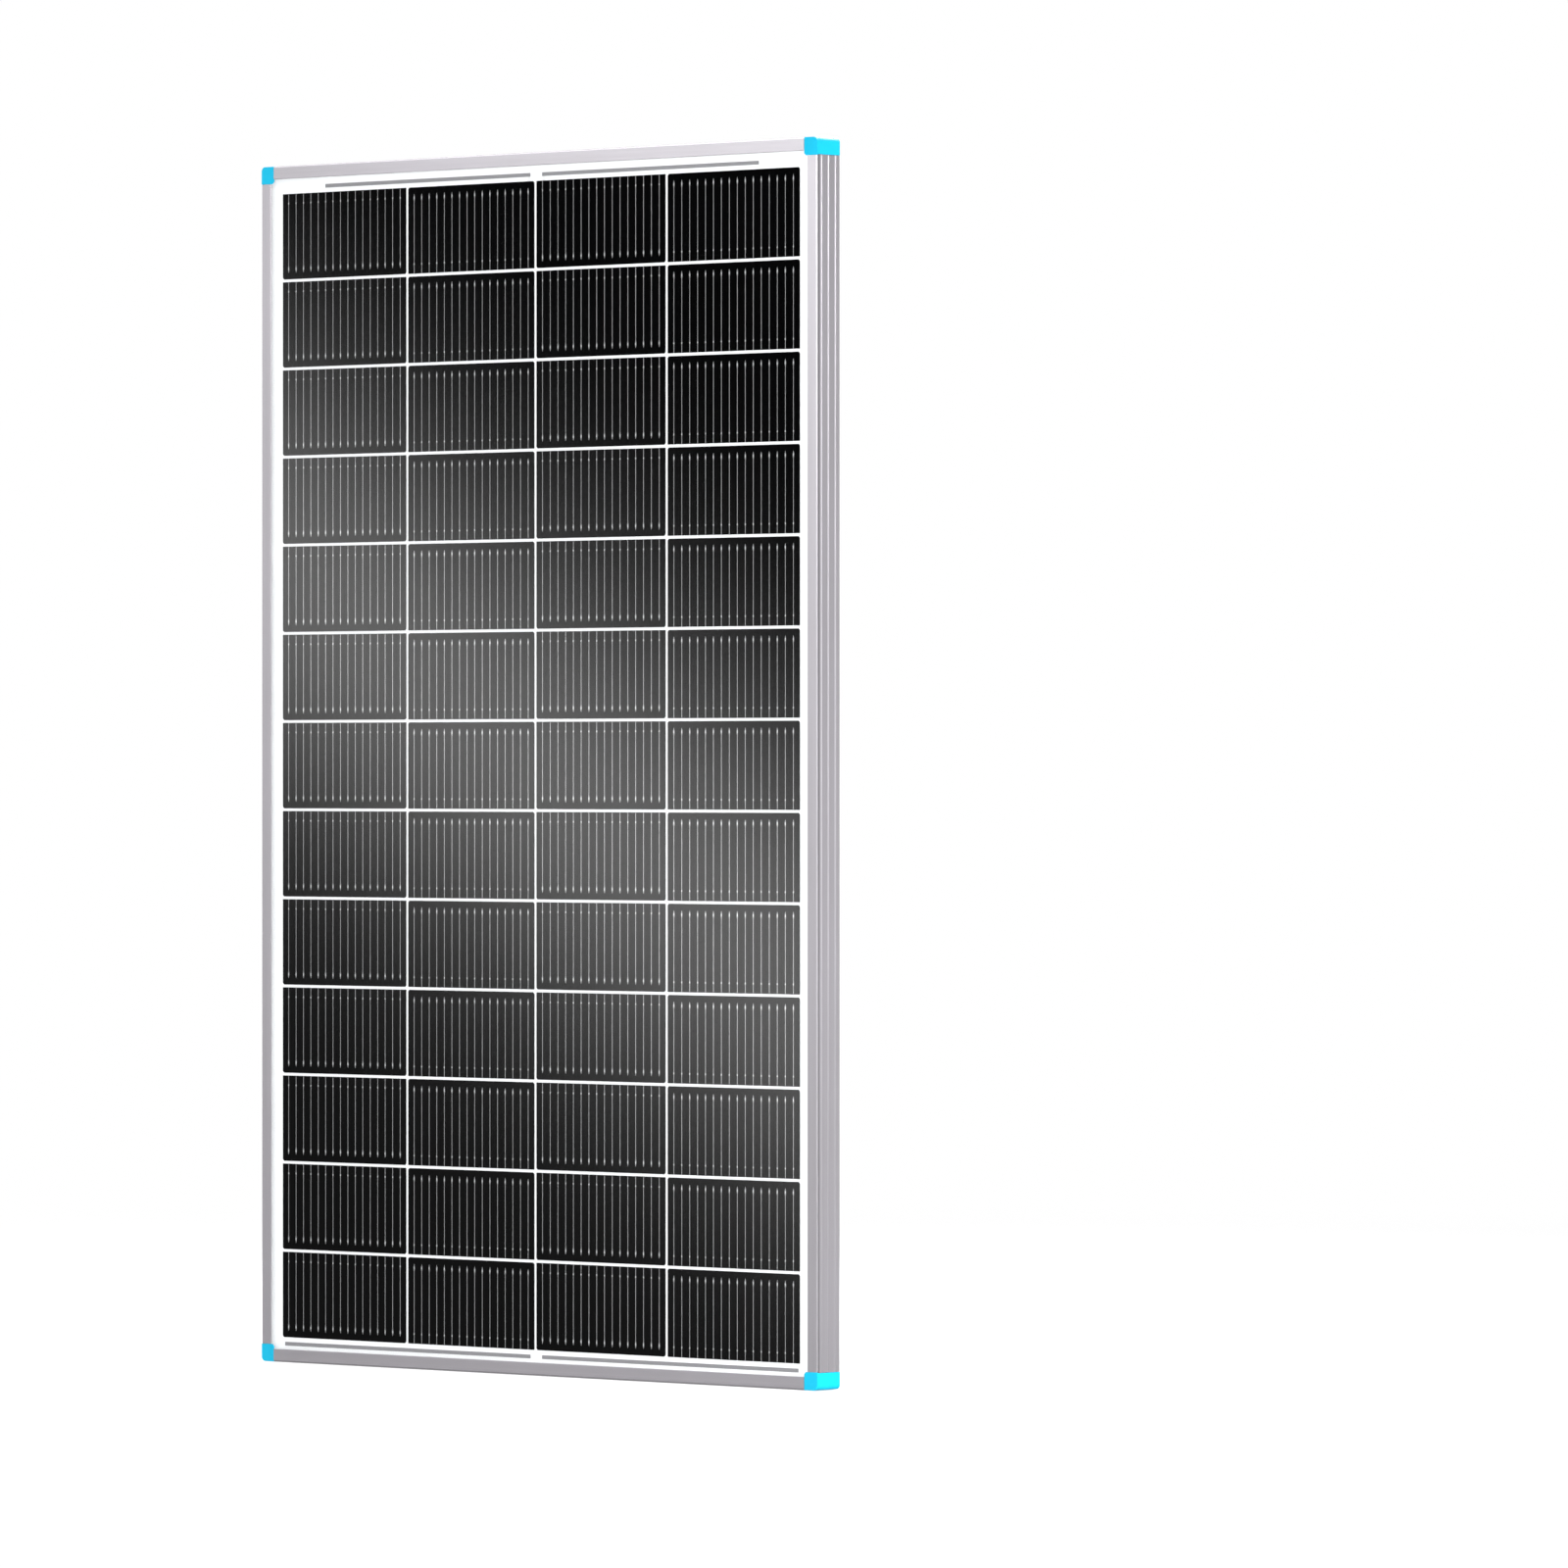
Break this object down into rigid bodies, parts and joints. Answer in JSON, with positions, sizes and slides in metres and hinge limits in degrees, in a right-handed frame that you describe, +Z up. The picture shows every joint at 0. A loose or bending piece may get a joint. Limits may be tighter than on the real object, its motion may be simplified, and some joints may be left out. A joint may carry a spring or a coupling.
{
  "type": "framed solar panel",
  "caption": "Framed photovoltaic panel with half-cut cells under glass, a slotted aluminium frame with corner caps, and a rear junction box with looped plug leads.",
  "frame": {"origin": "middle of the bottom edge, half way through the thickness", "axes": "+X right seen from the glass side, +Y out of the back, +Z up along the long side"},
  "size_m": [0.792, 0.035, 1.275],
  "materials": {
    "anodised_aluminium": "clear anodised, satin, brushed along the extrusion",
    "mill_aluminium": "mill finish",
    "blue_plastic": "moulded, satin",
    "sealant": "matt silicone",
    "cover_glass": "low-iron, lightly anti-reflective",
    "encapsulant": "clear film",
    "silicon_cell": "near-black with fine printed fingers",
    "tinned_ribbon": "tinned, dull silver",
    "white_backsheet": "white polymer film",
    "black_plastic": "spark-eroded texture",
    "black_rubber": "matt",
    "cable_jacket": "satin jacket",
    "steel_pin": "plain",
    "tinned_copper": "plated",
    "diode_epoxy": "moulded epoxy"
  },
  "bodies": {
    "panel": {"frame_rail_left": "anodised_aluminium", "frame_rail_right": "anodised_aluminium", "frame_rail_top": "anodised_aluminium", "frame_rail_bottom": "anodised_aluminium", "corner_key_top_left": "mill_aluminium", "corner_key_top_right": "mill_aluminium", "corner_key_bottom_left": "mill_aluminium", "corner_key_bottom_right": "mill_aluminium", "corner_cap_top_left": "blue_plastic", "corner_cap_top_right": "blue_plastic", "corner_cap_bottom_left": "blue_plastic", "corner_cap_bottom_right": "blue_plastic", "frame_seal": "sealant", "jbox_adhesive_pad": "sealant", "glass_cover": "cover_glass", "encapsulant_front": "encapsulant", "encapsulant_rear": "encapsulant", "cell_string_1": "silicon_cell", "cell_string_2": "silicon_cell", "cell_string_3": "silicon_cell", "cell_string_4": "silicon_cell", "bus_ribbon_top_left": "tinned_ribbon", "bus_ribbon_top_right": "tinned_ribbon", "bus_ribbon_bottom_left": "tinned_ribbon", "bus_ribbon_bottom_right": "tinned_ribbon", "lead_out_left": "tinned_ribbon", "lead_out_right": "tinned_ribbon", "backsheet": "white_backsheet", "jbox_base": "black_plastic", "jbox_lid_gasket": "black_rubber", "gland_seal_left": "black_rubber", "gland_seal_right": "black_rubber", "cable_stub_left": "cable_jacket", "cable_stub_right": "cable_jacket", "jbox_hinge_pin": "steel_pin", "terminal_left": "tinned_copper", "terminal_right": "tinned_copper", "bypass_diode": "diode_epoxy"},
    "jbox_lid_body": {"jbox_lid": "black_plastic"},
    "clip_left_upper": {"lid_clip_left_upper": "black_plastic"},
    "clip_left_lower": {"lid_clip_left_lower": "black_plastic"},
    "clip_right_upper": {"lid_clip_right_upper": "black_plastic"},
    "clip_right_lower": {"lid_clip_right_lower": "black_plastic"},
    "gland_nut_l": {"gland_nut_left": "black_plastic"},
    "gland_nut_r": {"gland_nut_right": "black_plastic"},
    "lead_l": {"cable_lead_left": "cable_jacket", "connector_body_left": "black_plastic", "connector_seal_left": "black_rubber", "contact_socket": "tinned_copper"},
    "lead_r": {"cable_lead_right": "cable_jacket", "connector_body_right": "black_plastic", "connector_seal_right": "black_rubber", "contact_pin": "tinned_copper"},
    "connector_nut_l": {"connector_nut_left": "black_plastic"},
    "connector_nut_r": {"connector_nut_right": "black_plastic"},
    "tine_a": {"lock_tine_a": "black_plastic"},
    "tine_b": {"lock_tine_b": "black_plastic"}
  },
  "joints": [
    {"name": "lid_hinge", "type": "hinge", "parent": "panel", "child": "jbox_lid_body", "pos_m": [0, 0.003, 1.206], "axis": [1, 0, 0], "range_deg": [0, 100]},
    {"name": "clip_flex_left_upper", "type": "hinge", "parent": "jbox_lid_body", "child": "clip_left_upper", "pos_m": [0.0655, 0.01075, 1.178], "axis": [0, 0, 1], "range_deg": [0, 12]},
    {"name": "clip_flex_left_lower", "type": "hinge", "parent": "jbox_lid_body", "child": "clip_left_lower", "pos_m": [0.0655, 0.01075, 1.131], "axis": [0, 0, 1], "range_deg": [0, 12]},
    {"name": "clip_flex_right_upper", "type": "hinge", "parent": "jbox_lid_body", "child": "clip_right_upper", "pos_m": [-0.0655, 0.01075, 1.178], "axis": [0, 0, -1], "range_deg": [0, 12]},
    {"name": "clip_flex_right_lower", "type": "hinge", "parent": "jbox_lid_body", "child": "clip_right_lower", "pos_m": [-0.0655, 0.01075, 1.131], "axis": [0, 0, -1], "range_deg": [0, 12]},
    {"name": "gland_nut_turn_l", "type": "hinge", "parent": "panel", "child": "gland_nut_l", "pos_m": [0.0315, -0.001, 1.09], "axis": [0, 0, 1], "range_deg": [0, 360]},
    {"name": "gland_nut_turn_r", "type": "hinge", "parent": "panel", "child": "gland_nut_r", "pos_m": [-0.0315, -0.001, 1.09], "axis": [0, 0, 1], "range_deg": [0, 360]},
    {"name": "lead_swing_l", "type": "hinge", "parent": "panel", "child": "lead_l", "pos_m": [0.0315, -0.001, 1.07], "axis": [1, 0, 0], "range_deg": [0, 60]},
    {"name": "lead_swing_r", "type": "hinge", "parent": "panel", "child": "lead_r", "pos_m": [-0.0315, -0.001, 1.07], "axis": [1, 0, 0], "range_deg": [0, 60]},
    {"name": "connector_nut_turn_l", "type": "hinge", "parent": "lead_l", "child": "connector_nut_l", "pos_m": [0.0315, 0.0038, 0.66], "axis": [0, 0, 1], "range_deg": [0, 360]},
    {"name": "connector_nut_turn_r", "type": "hinge", "parent": "lead_r", "child": "connector_nut_r", "pos_m": [-0.0315, 0.0038, 0.66], "axis": [0, 0, 1], "range_deg": [0, 360]},
    {"name": "tine_flex_a", "type": "hinge", "parent": "lead_r", "child": "tine_a", "pos_m": [-0.0217, 0.0038, 0.6308], "axis": [0, 1, 0], "range_deg": [0, 6]},
    {"name": "tine_flex_b", "type": "hinge", "parent": "lead_r", "child": "tine_b", "pos_m": [-0.0413, 0.0038, 0.6308], "axis": [0, -1, 0], "range_deg": [0, 6]}
  ]
}
